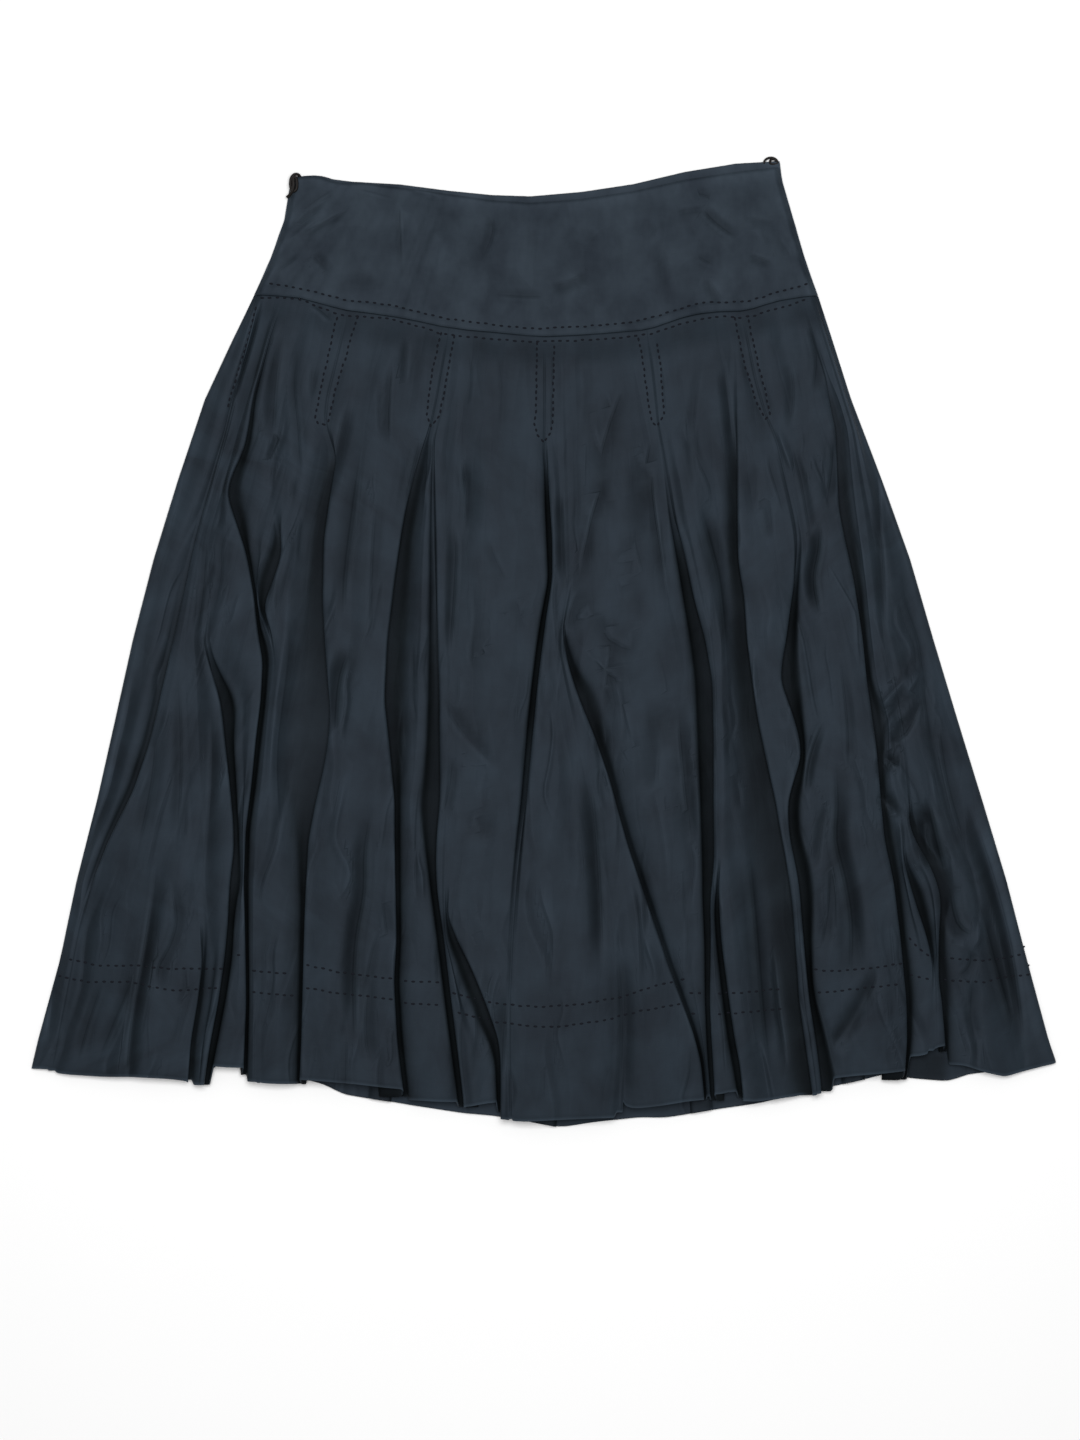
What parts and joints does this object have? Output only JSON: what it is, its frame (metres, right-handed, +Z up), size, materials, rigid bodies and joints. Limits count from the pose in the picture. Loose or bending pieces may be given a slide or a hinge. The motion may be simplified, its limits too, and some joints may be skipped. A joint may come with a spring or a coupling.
{
  "type": "pleated midi skirt",
  "caption": "Pleated midi skirt laid flat: shaped hip yoke, inverted pleats stitched shut below it and open to the hem, and two small hanger loops at the waist.",
  "frame": {"origin": "centre of the bounding box, on the surface that the skirt lies on", "axes": "+X from the left side seam to the right as seen from above, +Y from the hem to the waist, +Z up from the surface"},
  "size_m": [0.7993, 0.7582, 0.0164],
  "materials": {
    "panel_cloth": "slate navy woven linen and silk cloth with a soft sheen and fine lengthwise crinkle",
    "yoke_cloth": "the same cloth, faced and pressed flat",
    "loop_cord": "dark brown woven cord"
  },
  "bodies": {
    "root": {"yoke_front": "yoke_cloth", "yoke_back": "yoke_cloth", "skirt_front": "panel_cloth", "skirt_back": "panel_cloth", "loop_left": "loop_cord", "loop_right": "loop_cord"}
  },
  "joints": []
}
